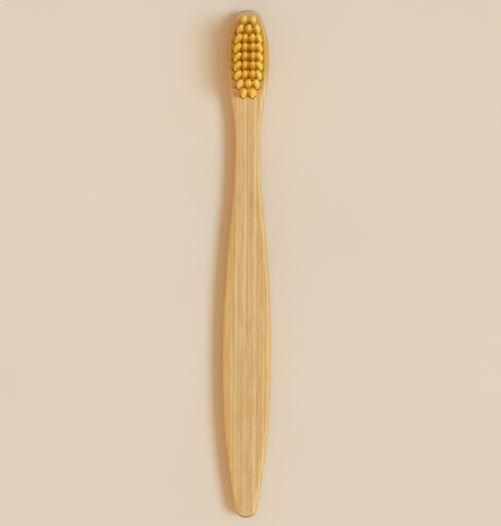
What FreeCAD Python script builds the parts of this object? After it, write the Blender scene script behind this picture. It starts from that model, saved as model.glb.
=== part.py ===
# Manual toothbrush: a bamboo handle, its bristle tufts and the flat wire anchors that hold them.
# The brush lies on its flat back at Z = 0, head towards +Y and bristles up. Sizes are in millimetres.
import FreeCAD, Part
import math
import os

import Sketcher
from FreeCAD import Vector

# Driving dimensions of the brush. Distances "from tip" run along the brush from the end of the head.
DIMENSIONS = {
    "overall_length": 180.0,
    "thickness": 6.0,
    "edge_round": 1.5,
    "tip_radius": 5.4,
    "head_width": 14.9,
    "head_from_tip": 16.8,
    "shoulder_radius": 80.0,
    "neck_width": 9.1,
    "neck_from_tip": 48.0,
    "waist_radius": 240.0,
    "grip_width": 17.25,
    "grip_from_tip": 121.0,
    "grip_straight": 7.0,
    "end_radius": 4.0,
    "first_row_from_tip": 5.4,
    "row_pitch": 3.17,
    "pair_pitch": 3.3,
    "triple_pitch": 3.3,
    "outer_quad_pitch": 2.8,
    "quad_pitch": 3.0,
    "hole_diameter": 1.9,
    "hole_depth": 4.0,
    "tuft_clearance": 0.03,
    "tuft_diameter": 1.93,
    "tuft_height": 10.0,
    "edge_lean": 1.1,
    "side_lean": 0.35,
    "front_lean": 0.95,
    "fold_thickness": 0.5,
    "fold_bevel": 0.3,
    "anchor_thickness": 0.25,
    "anchor_height": 1.4,
    "anchor_bite": 0.25,
    "anchor_clearance": 0.02,
}

# Rows of holes from the tip of the head: holes in the row, and the dimension that spaces them.
ROWS = (
    (2, "pair_pitch"),
    (3, "triple_pitch"),
    (4, "outer_quad_pitch"),
    (4, "quad_pitch"),
    (4, "quad_pitch"),
    (4, "quad_pitch"),
    (4, "outer_quad_pitch"),
    (3, "triple_pitch"),
    (2, "pair_pitch"),
)

# Sideways place of the outermost tufts, in the widest rows at the middle of the head.
OUTERMOST = f"({(max(count for count, pitch in ROWS) - 1) / 2} * Sizes.quad_pitch)"

# Heights shared by the holes, the folded roots and the anchors.
TOP_FACE = "Sizes.thickness"
HOLE_FLOOR = "Sizes.thickness - Sizes.hole_depth"
ANCHOR_FOOT = f"{HOLE_FLOOR} + Sizes.fold_thickness"
TUFT_TIP = "Sizes.thickness + Sizes.tuft_height"

# Radii and lengths shared by a tuft, its hole and its anchor.
HOLE_RADIUS = "Sizes.hole_diameter / 2"
ROOT_RADIUS = "(Sizes.hole_diameter / 2 - Sizes.tuft_clearance)"
ANCHOR_LENGTH = "(Sizes.hole_diameter + 2 * Sizes.anchor_bite)"
SLIT_LENGTH = f"({ANCHOR_LENGTH} + 2 * Sizes.anchor_clearance)"
SLIT_WIDTH = "(Sizes.anchor_thickness + 2 * Sizes.anchor_clearance)"

# Flat sides of a tuft, which is drawn as a many-sided bundle.
TUFT_SIDES = 8

# An edge that rises by less than this lies in a level face.
LEVEL = 0.001

doc = FreeCAD.newDocument("Toothbrush")


def make_sheet():
    """Spreadsheet with one named cell for each driving dimension."""
    sheet = doc.addObject("Spreadsheet::Sheet", "Sizes")
    for number, (name, value) in enumerate(DIMENSIONS.items(), start=1):
        sheet.set(f"A{number}", name)
        sheet.set(f"B{number}", str(value))
        sheet.setAlias(f"B{number}", name)
    doc.recompute()
    return sheet


def bind(item, **expressions):
    """Ties properties of an object to formulas in the sheet's dimensions."""
    for name, expression in expressions.items():
        item.setExpression(name, expression)
    return item


def place(item, x, y, z):
    """Ties an object's position to formulas in the sheet's dimensions."""
    item.setExpression("Placement.Base.x", x)
    item.setExpression("Placement.Base.y", y)
    item.setExpression("Placement.Base.z", z)
    return item


def origin_plane(body, role):
    """Plane of the body's own origin that has the role."""
    for feature in body.Origin.OriginFeatures:
        if feature.Role == role:
            return (feature, [""])
    raise RuntimeError(f"{body.Name} has no plane {role}")


def arc_between(centre, upper, lower, bulges):
    """Sketch arc from upper to lower that bulges away from the brush's axis, or hollows towards it."""
    first, last = (lower, upper) if bulges else (upper, lower)
    first_angle = math.atan2(first.y - centre.y, first.x - centre.x)
    last_angle = math.atan2(last.y - centre.y, last.x - centre.x)
    if last_angle < first_angle:
        last_angle += 2 * math.pi
    circle = Part.Circle(centre, Vector(0, 0, 1), first.distanceToPoint(centre))
    return Part.ArcOfCircle(circle, first_angle, last_angle)


def flank_radius(half_width, end_radius, run):
    """Radius of the side arc that is parallel to the axis at half_width and meets a round end smoothly.

    The round end is centred on the axis, at the distance run along it.
    """
    return (half_width**2 + run**2 - end_radius**2) / (2 * (half_width - end_radius))


def paired_radii(step, run):
    """Sum of the radii of two opposite arcs that step the width smoothly over the length run."""
    return (step**2 + run**2) / (2 * step)


def between(start, end, share):
    """Point at the share of the way from start to end."""
    return start + (end - start) * share


def outline_curves(sheet):
    """Right half of the outline, as named curves in order from the tip of the head to the end of the grip.

    Two curves that meet share a tangent. The widest and narrowest places are parallel to the axis.
    """
    half_length = sheet.overall_length / 2
    head = Vector(sheet.head_width / 2, half_length - sheet.head_from_tip)
    neck = Vector(sheet.neck_width / 2, half_length - sheet.neck_from_tip)
    grip = Vector(sheet.grip_width / 2, half_length - sheet.grip_from_tip)
    belly = Vector(grip.x, grip.y - sheet.grip_straight)

    tip_centre = Vector(0, half_length - sheet.tip_radius)
    flank = flank_radius(head.x, sheet.tip_radius, tip_centre.y - head.y)
    flank_centre = Vector(head.x - flank, head.y)
    tip_joint = between(flank_centre, tip_centre, flank / (flank - sheet.tip_radius))

    both = paired_radii(head.x - neck.x, head.y - neck.y)
    shoulder_centre = Vector(head.x - sheet.shoulder_radius, head.y)
    throat_centre = Vector(neck.x + both - sheet.shoulder_radius, neck.y)
    shoulder_joint = between(shoulder_centre, throat_centre, sheet.shoulder_radius / both)

    both = paired_radii(grip.x - neck.x, neck.y - grip.y)
    waist_centre = Vector(neck.x + sheet.waist_radius, neck.y)
    swell_centre = Vector(grip.x - both + sheet.waist_radius, grip.y)
    waist_joint = between(waist_centre, swell_centre, sheet.waist_radius / both)

    end_centre = Vector(0, sheet.end_radius - half_length)
    taper = flank_radius(grip.x, sheet.end_radius, belly.y - end_centre.y)
    taper_centre = Vector(grip.x - taper, belly.y)
    end_joint = between(taper_centre, end_centre, taper / (taper - sheet.end_radius))

    return {
        "tip": arc_between(tip_centre, Vector(0, half_length), tip_joint, True),
        "flank": arc_between(flank_centre, tip_joint, head, True),
        "shoulder": arc_between(shoulder_centre, head, shoulder_joint, True),
        "throat": arc_between(throat_centre, shoulder_joint, neck, False),
        "waist": arc_between(waist_centre, neck, waist_joint, False),
        "swell": arc_between(swell_centre, waist_joint, grip, True),
        "belly": Part.LineSegment(grip, belly),
        "taper": arc_between(taper_centre, belly, end_joint, True),
        "end": arc_between(end_centre, end_joint, Vector(0, -half_length), True),
    }


def draw_outline(sketch, sheet):
    """Draws the half outline in the sketch and ties it to the sheet's dimensions."""
    start, end, centre = 1, 2, 3
    origin = (-1, start)
    vertical_axis = -2
    curves = outline_curves(sheet)
    number = {name: sketch.addGeometry(curve, False) for name, curve in curves.items()}
    hollow = ("throat", "waist", "belly")
    upper = {name: start if name in hollow else end for name in curves}
    lower = {name: end if name in hollow else start for name in curves}
    names = list(curves)

    def fix(kind, *parts):
        return sketch.addConstraint(Sketcher.Constraint(kind, *parts))

    def dimension(kind, *parts, value, formula):
        index = fix(kind, *parts, value)
        sketch.setExpression(f"Constraints[{index}]", formula)

    for above, below in zip(names, names[1:]):
        fix("Tangent", number[above], lower[above], number[below], upper[below])

    axis_line = Part.LineSegment(curves["end"].StartPoint, curves["tip"].EndPoint)
    axis = sketch.addGeometry(axis_line, False)
    fix("Coincident", number["end"], lower["end"], axis, start)
    fix("Coincident", axis, end, number["tip"], upper["tip"])
    for curve, point in ((axis, start), (axis, end), (number["tip"], centre), (number["end"], centre)):
        fix("PointOnObject", curve, point, vertical_axis)
    fix("Vertical", number["belly"])
    fix("Horizontal", number["flank"], centre, number["flank"], lower["flank"])
    fix("Horizontal", number["throat"], centre, number["throat"], lower["throat"])

    half_length = "Sizes.overall_length / 2"
    stations = (
        ("flank", lower, "Sizes.head_width / 2", f"{half_length} - Sizes.head_from_tip"),
        ("throat", lower, "Sizes.neck_width / 2", f"{half_length} - Sizes.neck_from_tip"),
        ("belly", upper, "Sizes.grip_width / 2", f"{half_length} - Sizes.grip_from_tip"),
    )
    for name, side, across, along in stations:
        point = curves[name].EndPoint if side[name] == end else curves[name].StartPoint
        target = (number[name], side[name])
        dimension("DistanceX", *origin, *target, value=point.x, formula=across)
        dimension("DistanceY", *origin, *target, value=point.y, formula=along)
    dimension("DistanceY", number["belly"], end, number["belly"], start,
              value=sheet.grip_straight, formula="Sizes.grip_straight")
    dimension("DistanceY", *origin, axis, end,
              value=sheet.overall_length / 2, formula=half_length)
    dimension("DistanceY", axis, start, *origin,
              value=sheet.overall_length / 2, formula=half_length)
    for name in ("tip", "shoulder", "waist", "end"):
        radius = f"{name}_radius"
        dimension("Radius", number[name], value=getattr(sheet, radius), formula=f"Sizes.{radius}")


def make_blank(sheet):
    """Bamboo blank: the flat plank with its shaped outline and rounded edges, before drilling."""
    body = doc.addObject("PartDesign::Body", "HandleBlank")
    sketch = body.newObject("Sketcher::SketchObject", "HalfOutline")
    sketch.AttachmentSupport = origin_plane(body, "XY_Plane")
    sketch.MapMode = "FlatFace"
    draw_outline(sketch, sheet)
    plank = body.newObject("PartDesign::Pad", "HalfPlank")
    plank.Profile = sketch
    bind(plank, Length=TOP_FACE)
    both_sides = body.newObject("PartDesign::Mirrored", "BothSides")
    both_sides.Originals = [plank]
    both_sides.MirrorPlane = origin_plane(body, "YZ_Plane")
    body.Tip = both_sides
    doc.recompute()
    rim = [
        f"Edge{index}"
        for index, edge in enumerate(both_sides.Shape.Edges, start=1)
        if edge.BoundBox.ZLength < LEVEL
    ]
    rounded = body.newObject("PartDesign::Fillet", "RoundedEdges")
    rounded.Base = (both_sides, rim)
    bind(rounded, Radius="Sizes.edge_round")
    body.Tip = rounded
    return body


def add_box(name, length, width, height, x, y, z):
    """Box centred on x and y that stands on z."""
    box = doc.addObject("Part::Box", name)
    bind(box, Length=length, Width=width, Height=height)
    return place(box, f"{x} - {length} / 2", f"{y} - {width} / 2", z)


def add_rod(name, radius, height, x, y, z):
    """Upright cylinder on the point x, y, z."""
    rod = doc.addObject("Part::Cylinder", name)
    bind(rod, Radius=radius, Height=height)
    return place(rod, x, y, z)


def add_section(name, radius, x, y, z):
    """Level many-sided section of a tuft, centred on the point x, y, z, with a flat side towards +X."""
    section = doc.addObject("Part::RegularPolygon", name)
    section.Polygon = TUFT_SIDES
    section.Placement.Rotation = FreeCAD.Rotation(Vector(0, 0, 1), 180 / TUFT_SIDES)
    bind(section, Circumradius=radius)
    return place(section, x, y, z)


def add_pair(kind, name, base, tool):
    """Boolean of two objects."""
    result = doc.addObject(kind, name)
    result.Base = base
    result.Tool = tool
    return result


def add_group(name, members):
    """Group of separate solids."""
    group = doc.addObject("Part::Compound", name)
    group.Links = members
    return group


def make_tuft(spot, x, y):
    """Bristle tuft: a bundle folded in half about its anchor, with a free length that leans over.

    Its sections are the foot of the fold, the root above it, the mouth of the hole and the trimmed tip. All tufts
    lean a little to the side and to the front. The lean inwards grows with the square of the distance from the axis.
    """
    tip_x = f"{x} - {x} * abs({x}) / {OUTERMOST} ^ 2 * Sizes.edge_lean + Sizes.side_lean"
    tip_y = f"{y} + Sizes.front_lean"
    bundle = doc.addObject("Part::Loft", f"Bundle_{spot}")
    bundle.Sections = [
        add_section(f"Foot_{spot}", f"{ROOT_RADIUS} - Sizes.fold_bevel", x, y, HOLE_FLOOR),
        add_section(f"Root_{spot}", ROOT_RADIUS, x, y, f"{HOLE_FLOOR} + Sizes.fold_bevel"),
        add_section(f"Mouth_{spot}", ROOT_RADIUS, x, y, TOP_FACE),
        add_section(f"Tip_{spot}", "Sizes.tuft_diameter / 2", tip_x, tip_y, TUFT_TIP),
    ]
    bundle.Solid = True
    bundle.Ruled = True
    slot_height = "Sizes.anchor_height + Sizes.anchor_clearance"
    slot = add_box(f"Slot_{spot}", SLIT_LENGTH, SLIT_WIDTH, slot_height, x, y, ANCHOR_FOOT)
    tuft = add_pair("Part::Cut", f"Tuft_{spot}", bundle, slot)
    tuft.Label = f"tuft_{spot}"
    return tuft


def make_head(blank):
    """Drills the head, then fills each hole with a folded tuft and the anchor that pins it down.

    Each anchor is driven down from the mouth, so the slits that its ends cut in the wall are open at the top.
    The paths of the drill and of the anchor run on past the top face, as high as the tuft.
    """
    drill_path = f"{TUFT_TIP} - ({HOLE_FLOOR})"
    anchor_path = f"{TUFT_TIP} - ({ANCHOR_FOOT})"
    holes = []
    slits = []
    tufts = []
    anchor_rows = []
    for row, (count, pitch) in enumerate(ROWS):
        y = f"Sizes.overall_length / 2 - Sizes.first_row_from_tip - {row} * Sizes.row_pitch"
        anchors = []
        for column in range(count):
            spot = f"{row + 1}_{column + 1}"
            x = f"{column - (count - 1) / 2} * Sizes.{pitch}"
            holes.append(add_rod(f"Hole_{spot}", HOLE_RADIUS, drill_path, x, y, HOLE_FLOOR))
            slits.append(add_box(f"Slit_{spot}", SLIT_LENGTH, SLIT_WIDTH, anchor_path, x, y, ANCHOR_FOOT))
            anchors.append(add_box(f"Anchor_{spot}", ANCHOR_LENGTH, "Sizes.anchor_thickness",
                                   "Sizes.anchor_height", x, y, ANCHOR_FOOT))
            tufts.append(make_tuft(spot, x, y))
        anchor_row = add_group(f"AnchorRow_{row + 1}", anchors)
        anchor_row.Label = f"anchors_row_{row + 1}"
        anchor_rows.append(anchor_row)
    drilled = add_pair("Part::Cut", "Drilled", blank, add_group("Holes", holes))
    handle = add_pair("Part::Cut", "Handle", drilled, add_group("Slits", slits))
    handle.Label = "handle"
    return [handle] + tufts + anchor_rows


def check(pieces):
    """Stops the build if any object failed or any piece has no valid shape."""
    for item in doc.Objects:
        if "Invalid" in item.State or "Error" in item.State:
            raise RuntimeError(f"{item.Name} failed: {item.State}")
    for piece in pieces:
        if piece.Shape.isNull() or not piece.Shape.isValid():
            raise RuntimeError(f"{piece.Label} has no valid shape")


def main():
    sheet = make_sheet()
    pieces = make_head(make_blank(sheet))
    doc.recompute()
    check(pieces)
    os.makedirs("parts", exist_ok=True)
    for piece in pieces:
        piece.Shape.exportStep(f"parts/{piece.Label}.step")


main()
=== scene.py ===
"""Looks of a manual toothbrush: bamboo handle, amber bristles and brass anchors, on a pale table top.

Lengths are in metres and heights start from the table top.
"""

import math

import bpy
import numpy as np
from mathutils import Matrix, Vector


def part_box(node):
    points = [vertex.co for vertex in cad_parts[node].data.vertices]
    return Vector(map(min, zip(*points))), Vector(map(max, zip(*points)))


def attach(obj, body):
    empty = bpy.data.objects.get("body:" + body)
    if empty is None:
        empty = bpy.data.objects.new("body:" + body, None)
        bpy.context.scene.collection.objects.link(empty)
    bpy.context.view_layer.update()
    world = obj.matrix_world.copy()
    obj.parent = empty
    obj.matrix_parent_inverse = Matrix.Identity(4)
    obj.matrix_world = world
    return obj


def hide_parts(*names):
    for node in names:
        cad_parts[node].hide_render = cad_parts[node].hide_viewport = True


MM = 0.001

# Picture and camera. The camera looks straight down, and PIXEL is the width of a pixel at SCALE_HEIGHT.
IMAGE_HEIGHT = 526
PIXEL = 0.3552 * MM
SCALE_HEIGHT = 4 * MM
CAMERA_X = 1.243 * MM
CAMERA_Y = 0.32 * MM
CAMERA_HEIGHT = 500 * MM
CAMERA_TURN = math.radians(0.27)
SENSOR = 36.0

# Light, in linear colours: a broad soft lamp on the right, and a fill from all round that is warm overhead
# and strongest along the near side of the horizon.
LAMP_BEARING = math.radians(-6)
LAMP_ELEVATION = math.radians(48)
LAMP_SPREAD = math.radians(24)
LAMP_LEVEL = 4.23
LAMP_TINT = (0.260, 0.440, 0.630)
NEAR_FILL = (1.650, 1.500, 1.300, 1)
FAR_FILL = (0.150, 0.200, 0.300, 1)
NEAR_SIDE = (-0.2, -0.98, 0.0)
OVERHEAD_FILL = (0.671, 0.436, 0.186, 1)

# Screen colours: red, green and blue from 0 to 255.
WOOD_DEEP = (203, 161, 101)
WOOD_PALE = (222, 187, 134)
WOOD_MOTTLE = (204, 158, 90)
WOOD_FLECK = (192, 138, 66)
DARK_FIBRE = (190, 138, 70)
PALE_FIBRE = (236, 206, 158)
GOLDEN_GLAZE = (255, 249, 224)
# Painted amber shade on the wood round the bristles.
AMBER_SHADE_GLAZE = (238, 212, 84)
# Painted amber light on the wood among the tufts.
AMBER_LIGHT_WOOD = (255, 192, 54)
# Painted sheen on the upper rim.
RIM_SHEEN_WOOD = (236, 202, 142)
SIDE_WOOD = (244, 178, 88)
# End grain darkened further by painted shade, most on the near end.
FAR_END_GRAIN_AND_SHADE = (150, 108, 56)
NEAR_END_GRAIN_AND_SHADE = (120, 86, 46)
# Nylon colours low on the strands carry painted shade, and those towards the tip painted light.
NYLON_LOW_DEEP = (255, 190, 38)
NYLON_LOW_PALE = (255, 224, 82)
NYLON_HIGH_DEEP = (255, 210, 76)
NYLON_HIGH_PALE = (255, 240, 132)
# Painted shade on the bristles in the middle of the field.
NYLON_FIELD_SHADE = (255, 202, 72)
BRASS_DEEP = (196, 160, 84)
BRASS_PALE = (222, 190, 116)
TABLE_DEEP = (220, 204, 180)
TABLE_PALE = (228, 213, 191)
BACKGROUND = (224, 209, 186)

# Noise of the wood: scale along the handle, features to the metre, detail and roughness.
BANDS = (0.01, 420, 2, 0.5)
FIBRES = (0.008, 2400, 2, 0.6)
FLECKS = (0.07, 1100, 3, 0.6)
MOTTLE = (0.2, 620, 4, 0.65)
BAND_SHARE = 0.15

# Ranges of a ramp: its value goes from the first number to the second, and its result from the third to the
# fourth, or from 0 to 1.
GRAIN_RANGE = (0.32, 0.68)
MOTTLE_RANGE = (0.44, 0.62, 0, 0.5)
FLECK_RANGE = (0.56, 0.76, 0, 0.6)
DARK_RANGE = (0.4, 0.65, 0.1, 0.5)
PALE_RANGE = (0.3, 0.6, 0.5, 1.0)
GOLDEN_RANGE = (0.5, 0.95)
AMBER_SHADE_RANGE = (1.0, 0.5, 0, 0.95)
AMBER_LIGHT_RANGE = (1.0, 0.7, 0, 0.8)
FIELD_SHADE_RANGE = (0.9, 0.4, 0, 0.8)
RIM_SHEEN_INNER_RANGE = (0.998, 0.94, 0, 0.25)
RIM_SHEEN_OUTER_RANGE = (0.6, 0.85)
SIDE_RANGE = (0.5, 0.2, 0, 0.55)
FAR_END_RANGE = (0.45, 0.85, 0, 0.5)
NEAR_END_RANGE = (-0.3, -0.7, 0, 0.85)
WOOD_ROUGHNESS_RANGE = (0.3, 0.7, 0.45, 0.6)
NYLON_ROUGHNESS_RANGE = (0, 1, 0.4, 0.55)
BRASS_ROUGHNESS_RANGE = (0.3, 0.7, 0.25, 0.4)

# Strong fibres of the wood, by their place across the handle.
DARK_FIBRES = (-4.35 * MM, -2.85 * MM, 0.4 * MM, 1.4 * MM, 2.2 * MM, 3.9 * MM, 5.5 * MM)
DARK_HALF_WIDTH = 0.22 * MM
PALE_FIBRES = (-3.4 * MM, -0.55 * MM, 3.0 * MM, 6.0 * MM)
PALE_HALF_WIDTH = 0.17 * MM
FIBRE_WAVER = 0.3 * MM
WAVER_SCALE = 40

# Surface of the wood and of the nylon.
BUMP_STRENGTH = 0.3
BUMP_HEIGHT = 0.04 * MM
WOOD_SHINE = 0.3
NYLON_SHINE = 0.2

# Oval of painted amber shade on the wood round the bristles.
SHADE_HALF_WIDTH = 11.5 * MM
SHADE_HALF_LENGTH = 17 * MM
SHADE_X = 0.92 * MM
SHADE_Y = 74.5 * MM
SHADE_SCALE = (1 / SHADE_HALF_WIDTH, 1 / SHADE_HALF_LENGTH, 0)
SHADE_SHIFT = (-SHADE_X / SHADE_HALF_WIDTH, -SHADE_Y / SHADE_HALF_LENGTH, 0)

# Oval of the field of tufts, where amber light is painted on the wood and shade is painted on the bristles.
FIELD_HALF_WIDTH = 5.2 * MM
FIELD_HALF_LENGTH = 13.5 * MM
FIELD_Y = 72.3 * MM
FIELD_SCALE = (1 / FIELD_HALF_WIDTH, 1 / FIELD_HALF_LENGTH, 0)
FIELD_SHIFT = (0, -FIELD_Y / FIELD_HALF_LENGTH, 0)

# Rough outline of the handle, for the golden wood towards its edges.
NECK_Y = 42 * MM
NECK_HALF_WIDTH = 4.55 * MM
GRIP_Y = -31 * MM
GRIP_HALF_WIDTH = 8.6 * MM
END_Y = -90 * MM
END_HALF_WIDTH = 4 * MM
HEAD_Y = 54 * MM

# Brass: scale of its lines along the wire, and lines to the metre.
BRASS_DRAW = 0.05
BRASS_LINES = 9000

# Table top.
TABLE_SIDE = 4.0
TABLE_CLOUDS = 14
TABLE_DETAIL = 3
TABLE_ROUGHNESS = 0.85
TABLE_SHINE = 0.2

# Strands of a tuft.
STRANDS = 50
STRAND_SIDES = 5
STRAND_RADIUS = 0.12 * MM
END_RADIUS = 0.75
TRIM_SCATTER = 0.3 * MM
TIP_DOME = 0.3 * MM
TIP_TAPER = 0.5
BULGE = 0.29 * MM
TIP_SCATTER = 0.12 * MM
MOUTH_RADIUS = 0.74 * MM
MOUTH_SHIFT = 0.13 * MM
ROOT_RADIUS = 0.72 * MM
ROOT_RISE = 1.0 * MM
KNEE_RISE = 0.12 * MM
FOLD_ROOM = 0.24 * MM
ANCHOR_GAP = 0.02 * MM
HALFWAY = 0.5
BEND = 1.1
END_TOLERANCE = 0.12 * MM
GOLDEN_NUMBER = (math.sqrt(5) - 1) / 2
SEED = 11

# Sockets of a mix node for colours, whose names are shared by its other kinds.
MIX_FACTOR = 0
MIX_FIRST = 6
MIX_SECOND = 7
MIX_RESULT = 2


def tint(colour):
    """Linear colour of a screen colour: each channel is raised by the sRGB curve."""
    screen = np.array(colour) / 255
    linear = np.where(screen <= 0.04045, screen / 12.92, ((screen + 0.055) / 1.055) ** 2.4)
    return (*linear.tolist(), 1.0)


def add_node(tree, kind, inputs=None, **settings):
    """Node with its settings, and each input set to a value or linked to another node's output."""
    made = tree.nodes.new(kind)
    for name, value in settings.items():
        setattr(made, name, value)
    for key, value in (inputs or {}).items():
        if isinstance(value, bpy.types.NodeSocket):
            tree.links.new(value, made.inputs[key])
        else:
            made.inputs[key].default_value = value
    return made


def stretch(tree, vector, scale, shift=(0, 0, 0)):
    """Coordinates times a scale on each axis, then moved by a shift."""
    inputs = {"Vector": vector, "Scale": scale, "Location": shift}
    return add_node(tree, "ShaderNodeMapping", inputs).outputs["Vector"]


def noise(tree, vector, scale, detail=2.0, roughness=0.5):
    """Noise from 0 to 1, with scale features to the metre."""
    inputs = {"Vector": vector, "Scale": scale, "Detail": detail, "Roughness": roughness}
    return add_node(tree, "ShaderNodeTexNoise", inputs).outputs["Fac"]


def drawn_noise(tree, place, draw, scale, detail, roughness):
    """Noise drawn out along the handle: Y is first scaled by draw."""
    return noise(tree, stretch(tree, place, (1, draw, 1)), scale, detail, roughness)


def ramp(tree, value, low, high, to_low=0.0, to_high=1.0):
    """Value carried smoothly from the range low to high into the range to_low to to_high."""
    inputs = {"Value": value, "From Min": low, "From Max": high, "To Min": to_low, "To Max": to_high}
    made = add_node(tree, "ShaderNodeMapRange", inputs, interpolation_type="SMOOTHSTEP")
    return made.outputs["Result"]


def calculate(tree, operation, first, second=0.0):
    """One step of arithmetic on one or two values."""
    return add_node(tree, "ShaderNodeMath", {0: first, 1: second}, operation=operation).outputs["Value"]


def tinted(tree, factor, first, second, blend="MIX"):
    """Colour that goes from the first to its blend with the second as the factor goes from 0 to 1."""
    inputs = {MIX_FACTOR: factor, MIX_FIRST: first, MIX_SECOND: second}
    made = add_node(tree, "ShaderNodeMix", inputs, data_type="RGBA", blend_type=blend)
    return made.outputs[MIX_RESULT]


def new_finish(name):
    """Empty finish: the material, its node tree, its shader and its coordinates."""
    material = bpy.data.materials.new(name)
    material.use_nodes = True
    tree = material.node_tree
    shader = tree.nodes["Principled BSDF"]
    coordinates = add_node(tree, "ShaderNodeTexCoord")
    return material, tree, shader, coordinates


def fibre_lines(tree, across, places, half_width):
    """Lines along the handle at places across it: 1 at the middle of a line and 0 from its half width on."""
    lines = 0.0
    for line_place in places:
        away = calculate(tree, "ABSOLUTE", calculate(tree, "SUBTRACT", across, line_place))
        lines = calculate(tree, "MAXIMUM", ramp(tree, away, 0, half_width, 1, 0), lines)
    return lines


def reach_from(tree, place, scale, shift):
    """Distance from the middle of an upright oval column, which is 1 at its wall."""
    oval = stretch(tree, place, scale, shift)
    return add_node(tree, "ShaderNodeVectorMath", {0: oval}, operation="LENGTH").outputs["Value"]


def golden_edges(tree, x, y):
    """Factor for the golden wood, which grows from the middle of the handle to its outline.

    It fades to the head. The outline's half width goes smoothly from neck to grip, and from grip to end it
    falls with the square of the way.
    """
    widening = ramp(tree, y, NECK_Y, GRIP_Y, NECK_HALF_WIDTH, GRIP_HALF_WIDTH)
    way = calculate(tree, "DIVIDE", calculate(tree, "SUBTRACT", GRIP_Y, y), GRIP_Y - END_Y)
    way = calculate(tree, "MAXIMUM", way, 0.0)
    square = calculate(tree, "MULTIPLY", way, way)
    fall = calculate(tree, "MULTIPLY", square, GRIP_HALF_WIDTH - END_HALF_WIDTH)
    half_width = calculate(tree, "SUBTRACT", widening, fall)
    share = calculate(tree, "DIVIDE", calculate(tree, "ABSOLUTE", x), half_width)
    return calculate(tree, "MULTIPLY", ramp(tree, share, *GOLDEN_RANGE), ramp(tree, y, HEAD_Y, NECK_Y))


def fibrous_wood(tree, place, x):
    """Colour of plain bamboo, and its fibres for roughness and bump.

    Bands, fibres, flecks and mottling are noise drawn out along the handle. A few strong fibres run its whole
    length. They waver with noise of Y alone, and the flecks make them stronger and weaker.
    """
    bands = drawn_noise(tree, place, *BANDS)
    fibres = drawn_noise(tree, place, *FIBRES)
    flecks = drawn_noise(tree, place, *FLECKS)
    mottle = drawn_noise(tree, place, *MOTTLE)
    coarse = calculate(tree, "MULTIPLY", bands, BAND_SHARE)
    fine = calculate(tree, "MULTIPLY", fibres, 1 - BAND_SHARE)
    grain = calculate(tree, "ADD", coarse, fine)
    wood = tinted(tree, ramp(tree, grain, *GRAIN_RANGE), tint(WOOD_DEEP), tint(WOOD_PALE))
    wood = tinted(tree, ramp(tree, mottle, *MOTTLE_RANGE), wood, tint(WOOD_MOTTLE))
    wood = tinted(tree, ramp(tree, flecks, *FLECK_RANGE), wood, tint(WOOD_FLECK))
    waver = noise(tree, stretch(tree, place, (0, 1, 0)), WAVER_SCALE)
    across = calculate(tree, "ADD", x, calculate(tree, "MULTIPLY", waver, FIBRE_WAVER))
    dark = fibre_lines(tree, across, DARK_FIBRES, DARK_HALF_WIDTH)
    dark = calculate(tree, "MULTIPLY", dark, ramp(tree, flecks, *DARK_RANGE))
    wood = tinted(tree, dark, wood, tint(DARK_FIBRE))
    pale = fibre_lines(tree, across, PALE_FIBRES, PALE_HALF_WIDTH)
    pale = calculate(tree, "MULTIPLY", pale, ramp(tree, flecks, *PALE_RANGE))
    wood = tinted(tree, pale, wood, tint(PALE_FIBRE))
    return wood, fibres


def toned_by_place(tree, wood, place, x, y):
    """Wood made golden towards the edges of the handle, with painted amber shade round the bristles and
    painted amber light among them.
    """
    wood = tinted(tree, golden_edges(tree, x, y), wood, tint(GOLDEN_GLAZE), "MULTIPLY")
    # Painted amber shade on the wood round the bristles.
    amber_shade = ramp(tree, reach_from(tree, place, SHADE_SCALE, SHADE_SHIFT), *AMBER_SHADE_RANGE)
    wood = tinted(tree, amber_shade, wood, tint(AMBER_SHADE_GLAZE), "MULTIPLY")
    # Painted amber light on the wood among the tufts.
    amber = ramp(tree, reach_from(tree, place, FIELD_SCALE, FIELD_SHIFT), *AMBER_LIGHT_RANGE)
    return tinted(tree, amber, wood, tint(AMBER_LIGHT_WOOD))


def toned_by_facing(tree, wood, normal):
    """Wood made paler on the upper rim by a painted sheen, warmer on the side walls, and darker on the end
    walls by end grain and painted shade.
    """
    facing = add_node(tree, "ShaderNodeSeparateXYZ", {0: normal}).outputs
    # Painted sheen on the upper rim.
    inner = ramp(tree, facing["Z"], *RIM_SHEEN_INNER_RANGE)
    outer = ramp(tree, facing["Z"], *RIM_SHEEN_OUTER_RANGE)
    wood = tinted(tree, calculate(tree, "MULTIPLY", inner, outer), wood, tint(RIM_SHEEN_WOOD))
    upright = calculate(tree, "ABSOLUTE", facing["Z"])
    wood = tinted(tree, ramp(tree, upright, *SIDE_RANGE), wood, tint(SIDE_WOOD))
    # End grain darkened further by painted shade, most on the near end.
    wood = tinted(tree, ramp(tree, facing["Y"], *FAR_END_RANGE), wood, tint(FAR_END_GRAIN_AND_SHADE))
    return tinted(tree, ramp(tree, facing["Y"], *NEAR_END_RANGE), wood, tint(NEAR_END_GRAIN_AND_SHADE))


def bamboo_finish():
    """Sanded bamboo: fibrous wood, toned by its place on the handle and by the way that it faces."""
    material, tree, shader, coordinates = new_finish("bamboo_wood")
    place = coordinates.outputs["Object"]
    axes = add_node(tree, "ShaderNodeSeparateXYZ", {0: place}).outputs
    wood, fibres = fibrous_wood(tree, place, axes["X"])
    wood = toned_by_place(tree, wood, place, axes["X"], axes["Y"])
    wood = toned_by_facing(tree, wood, coordinates.outputs["Normal"])
    bump = {"Height": fibres, "Strength": BUMP_STRENGTH, "Distance": BUMP_HEIGHT}
    tree.links.new(wood, shader.inputs["Base Color"])
    tree.links.new(ramp(tree, fibres, *WOOD_ROUGHNESS_RANGE), shader.inputs["Roughness"])
    tree.links.new(add_node(tree, "ShaderNodeBump", bump).outputs["Normal"], shader.inputs["Normal"])
    shader.inputs["Specular IOR Level"].default_value = WOOD_SHINE
    return material


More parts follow.
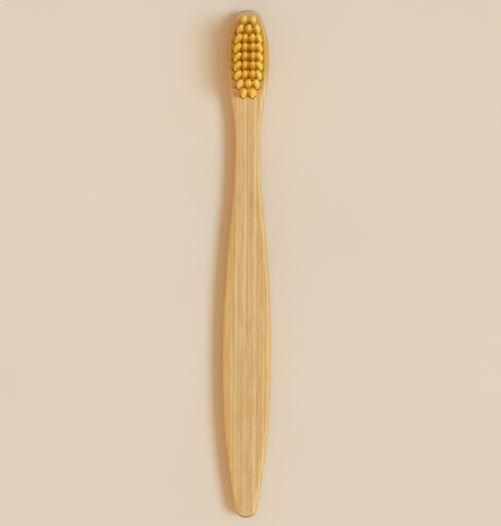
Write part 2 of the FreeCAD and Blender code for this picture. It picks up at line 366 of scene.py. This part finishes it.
def bristle_finish():
    """Amber nylon, with painted shade near the mouth of the hole and painted light towards the tip.

    Each strand has its own tone, and painted shade makes the upper part deeper towards the middle of the
    field of tufts.
    """
    material, tree, shader, coordinates = new_finish("amber_nylon")
    place = coordinates.outputs["Object"]
    tone = add_node(tree, "ShaderNodeAttribute", attribute_name="tone").outputs["Fac"]
    rise = add_node(tree, "ShaderNodeAttribute", attribute_name="rise").outputs["Fac"]
    low = tinted(tree, tone, tint(NYLON_LOW_DEEP), tint(NYLON_LOW_PALE))
    high = tinted(tree, tone, tint(NYLON_HIGH_DEEP), tint(NYLON_HIGH_PALE))
    # Painted shade on the bristles in the middle of the field.
    field_shade = ramp(tree, reach_from(tree, place, FIELD_SCALE, FIELD_SHIFT), *FIELD_SHADE_RANGE)
    high = tinted(tree, field_shade, high, tint(NYLON_FIELD_SHADE))
    # Painted shade low on the strands and painted light towards their tips.
    tree.links.new(tinted(tree, rise, low, high), shader.inputs["Base Color"])
    tree.links.new(ramp(tree, tone, *NYLON_ROUGHNESS_RANGE), shader.inputs["Roughness"])
    shader.inputs["Specular IOR Level"].default_value = NYLON_SHINE
    return material


def brass_finish():
    """Rolled brass wire with faint lines along its length."""
    material, tree, shader, coordinates = new_finish("rolled_brass")
    lines = noise(tree, stretch(tree, coordinates.outputs["Object"], (BRASS_DRAW, 1, 1)), BRASS_LINES)
    tree.links.new(tinted(tree, lines, tint(BRASS_DEEP), tint(BRASS_PALE)), shader.inputs["Base Color"])
    tree.links.new(ramp(tree, lines, *BRASS_ROUGHNESS_RANGE), shader.inputs["Roughness"])
    shader.inputs["Metallic"].default_value = 1.0
    return material


def table_finish():
    """Pale matt board with a faint cloudiness."""
    material, tree, shader, coordinates = new_finish("pale_board")
    clouds = noise(tree, coordinates.outputs["Object"], TABLE_CLOUDS, TABLE_DETAIL)
    tree.links.new(tinted(tree, clouds, tint(TABLE_DEEP), tint(TABLE_PALE)), shader.inputs["Base Color"])
    shader.inputs["Roughness"].default_value = TABLE_ROUGHNESS
    shader.inputs["Specular IOR Level"].default_value = TABLE_SHINE
    return material


def add_piece(name, points, faces, material):
    """Smooth mesh object at the origin, from an array of points and a list of faces."""
    mesh = bpy.data.meshes.new(name)
    mesh.from_pydata(points.reshape(-1, 3), [], faces)
    mesh.shade_smooth()
    mesh.materials.append(material)
    piece = bpy.data.objects.new(name, mesh)
    bpy.context.scene.collection.objects.link(piece)
    return piece


def node_points(name):
    """Corner points of a CAD node, one row each."""
    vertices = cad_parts[name].data.vertices
    points = np.empty(len(vertices) * 3)
    vertices.foreach_get("co", points)
    return points.reshape(-1, 3)


def end_of(points, height):
    """Middle and half width of the flat end that a node has at one height."""
    end = points[np.abs(points[:, 2] - height) < END_TOLERANCE]
    return (end.min(0) + end.max(0)) / 2, np.ptp(end[:, 1]) / 2


def strand_paths(name, mouth_height, anchor_half, rng):
    """Centre lines of one tuft's strands, each a row of points from one tip to the other, with their rise.

    A strand goes down one leg, under the anchor and up the other leg. Leg k of n stands in a half disc, at a
    distance from its middle that is the root of (k + 1/2) / n, and at a bearing of half a turn times the
    fraction left by k times the golden number. The other leg is its mirror image across the anchor.

    From the mouth up, the bundle's radius goes evenly from mouth to tip and swells by the sine of half a turn
    times the rise. Its middle is pushed from the hole's middle along the lean, and moves towards the tip with
    the rise to the power BEND. A tip falls by the square of the distance and by a random trim, and each leg
    strays at random with the rise.
    """
    points = node_points(name)
    foot, _ = end_of(points, points[:, 2].min())
    tip, tip_radius = end_of(points, points[:, 2].max())
    heading = (tip - foot) * (1, 1, 0)
    heading /= np.linalg.norm(heading)
    order = np.arange(STRANDS)
    distance = np.sqrt((order + 0.5) / STRANDS)
    bearing = math.pi * np.modf(order * GOLDEN_NUMBER)[0]
    across = distance * np.cos(bearing)
    aside = distance * np.sin(bearing)
    fold_height = foot[2] + STRAND_RADIUS + FOLD_ROOM * (1 - aside)
    gap = anchor_half + STRAND_RADIUS + ANCHOR_GAP
    legs = []
    for side in (1, -1):
        tip_height = tip[2] - TRIM_SCATTER * rng.random(STRANDS) - TIP_DOME * distance ** 2
        heights = np.stack([
            tip_height,
            np.full(STRANDS, mouth_height + HALFWAY * (tip[2] - mouth_height)),
            np.full(STRANDS, mouth_height),
            np.full(STRANDS, foot[2] + ROOT_RISE),
            fold_height + KNEE_RISE * aside,
        ], axis=1)
        rise = np.clip((heights - mouth_height) / (tip[2] - mouth_height), 0, 1)
        above = heights >= mouth_height
        swell = BULGE * np.sin(math.pi * rise)
        bundle = MOUTH_RADIUS + (TIP_TAPER * tip_radius - MOUTH_RADIUS) * rise + swell
        girth = np.where(above, bundle, ROOT_RADIUS)
        shift = TIP_SCATTER * rng.standard_normal((2, STRANDS, 1)) * rise
        pushed = np.where(above, MOUTH_SHIFT, 0)[:, :, None] * heading
        middle = foot + pushed + (tip - foot) * rise[:, :, None] ** BEND
        x = middle[:, :, 0] + across[:, None] * girth + shift[0]
        free = aside[:, None] * girth
        pinned = gap + aside[:, None] * (ROOT_RADIUS - gap)
        y = middle[:, :, 1] + side * np.where(above, free, pinned) + shift[1]
        legs.append(np.stack([x, y, heights], axis=2))
    fold = np.stack([foot[0] + across * ROOT_RADIUS, np.full(STRANDS, foot[1]), fold_height], axis=1)
    paths = np.concatenate([legs[0], fold[:, None], legs[1][:, ::-1]], axis=1)
    return paths, np.clip((paths[:, :, 2] - mouth_height) / (tip[2] - mouth_height), 0, 1)


def strand_tubes(paths):
    """Tubes along the paths: a ring round each point, square to the path, drawn in at the two ends.

    A ring's points are the path's point plus the radius times the cosine of an angle along one side vector
    and its sine along the other. The first side vector is the X axis made square to the path, and the
    second is the path's direction crossed with it.
    """
    count, rings, _ = paths.shape
    along = np.gradient(paths, axis=1)
    along /= np.linalg.norm(along, axis=2, keepdims=True)
    first = np.array([1.0, 0.0, 0.0]) - along * along[:, :, :1]
    first /= np.linalg.norm(first, axis=2, keepdims=True)
    second = np.cross(along, first)
    angle = np.arange(STRAND_SIDES) * math.tau / STRAND_SIDES
    radius = np.full(rings, STRAND_RADIUS)
    radius[[0, -1]] *= END_RADIUS
    ring = np.cos(angle)[:, None] * first[:, :, None] + np.sin(angle)[:, None] * second[:, :, None]
    points = paths[:, :, None] + radius[:, None, None] * ring
    number = np.arange(count * rings * STRAND_SIDES).reshape(count, rings, STRAND_SIDES)
    turned = np.roll(number, -1, axis=2)
    sides = np.stack([number[:, :-1], turned[:, :-1], turned[:, 1:], number[:, 1:]], axis=3)
    ends = np.concatenate([number[:, 0, ::-1], number[:, -1]])
    return points, sides.reshape(-1, 4).tolist() + ends.tolist()


def add_values(piece, name, values):
    """Number on each point of a piece, for its finish to read."""
    piece.data.attributes.new(name, "FLOAT", "POINT").data.foreach_set("value", values.ravel())


def add_tuft(node, material, mouth_height, anchor_half, rng):
    """Bundle of strands in place of one CAD tuft."""
    paths, rise = strand_paths(node, mouth_height, anchor_half, rng)
    points, faces = strand_tubes(paths)
    piece = add_piece(node.replace("tuft", "bristles"), points, faces, material)
    tone = rng.random((STRANDS, 1, 1))
    add_values(piece, "tone", np.broadcast_to(tone, points.shape[:3]))
    add_values(piece, "rise", np.broadcast_to(rise[:, :, None], points.shape[:3]))
    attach(piece, "root")
    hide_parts(node)


def add_table(material):
    """Flat square of table top: x and y each run over the side, and z is 0."""
    edge = np.array([-TABLE_SIDE / 2, TABLE_SIDE / 2])
    x, y = np.meshgrid(edge, edge)
    table = add_piece("table_top", np.stack([x, y, np.zeros_like(x)], axis=2), [(0, 1, 3, 2)], material)


def add_lamp():
    """Soft lamp from the right."""
    lamp = bpy.data.lights.new("soft_lamp", "SUN")
    lamp.energy = LAMP_LEVEL
    lamp.color = LAMP_TINT
    lamp.angle = LAMP_SPREAD
    holder = bpy.data.objects.new("soft_lamp", lamp)
    holder.rotation_euler = (0, math.pi / 2 - LAMP_ELEVATION, LAMP_BEARING)
    bpy.context.scene.collection.objects.link(holder)


def add_fill():
    """Light from all round, which the camera and reflections see as a pale background."""
    world = bpy.data.worlds.new("room")
    world.use_nodes = True
    tree = world.node_tree
    fill = tree.nodes["Background"]
    direction = add_node(tree, "ShaderNodeTexCoord").outputs["Generated"]
    height = add_node(tree, "ShaderNodeSeparateXYZ", {0: direction}).outputs["Z"]
    nearness = add_node(tree, "ShaderNodeVectorMath", {0: direction, 1: NEAR_SIDE}, operation="DOT_PRODUCT")
    horizon = tinted(tree, ramp(tree, nearness.outputs["Value"], -1, 1), FAR_FILL, NEAR_FILL)
    tree.links.new(tinted(tree, ramp(tree, height, 0, 1), horizon, OVERHEAD_FILL), fill.inputs["Color"])
    wall = add_node(tree, "ShaderNodeBackground", {"Color": tint(BACKGROUND)})
    rays = add_node(tree, "ShaderNodeLightPath")
    seen = calculate(tree, "MAXIMUM", rays.outputs["Is Camera Ray"], rays.outputs["Is Transmission Ray"])
    seen = calculate(tree, "MAXIMUM", seen, rays.outputs["Is Glossy Ray"])
    shown = add_node(tree, "ShaderNodeMixShader", {0: seen, 1: fill.outputs[0], 2: wall.outputs[0]})
    tree.links.new(shown.outputs[0], tree.nodes["World Output"].inputs["Surface"])
    bpy.context.scene.world = world


def add_camera():
    """Camera that looks straight down, with the photograph's field of view over the picture's longer side."""
    camera = bpy.data.cameras.new("camera")
    camera.sensor_width = SENSOR
    camera.lens = SENSOR * (CAMERA_HEIGHT - SCALE_HEIGHT) / (IMAGE_HEIGHT * PIXEL)
    holder = bpy.data.objects.new("camera", camera)
    holder.location = (CAMERA_X, CAMERA_Y, CAMERA_HEIGHT)
    holder.rotation_euler = (0, 0, CAMERA_TURN)
    bpy.context.scene.collection.objects.link(holder)
    bpy.context.scene.camera = holder


def dress(node, material):
    """Gives a CAD node its finish."""
    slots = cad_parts[node].data.materials
    slots.clear()
    slots.append(material)


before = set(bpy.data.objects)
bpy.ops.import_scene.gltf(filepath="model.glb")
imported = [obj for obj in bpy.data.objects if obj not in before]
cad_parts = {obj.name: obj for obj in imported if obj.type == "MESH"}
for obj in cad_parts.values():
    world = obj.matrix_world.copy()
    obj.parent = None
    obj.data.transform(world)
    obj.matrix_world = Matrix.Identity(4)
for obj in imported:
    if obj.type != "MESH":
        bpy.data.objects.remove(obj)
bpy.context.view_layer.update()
bpy.context.scene.view_settings.view_transform = "Standard"

dress("handle", bamboo_finish())
brass = brass_finish()
nylon = bristle_finish()
top_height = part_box("handle")[1].z
anchor_low, anchor_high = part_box("anchors_row_1")
scatter = np.random.default_rng(SEED)
for part in sorted(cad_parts):
    if part.startswith("anchors"):
        dress(part, brass)
    if part.startswith("tuft"):
        add_tuft(part, nylon, top_height, (anchor_high.y - anchor_low.y) / 2, scatter)

add_table(table_finish())
add_lamp()
add_fill()
add_camera()
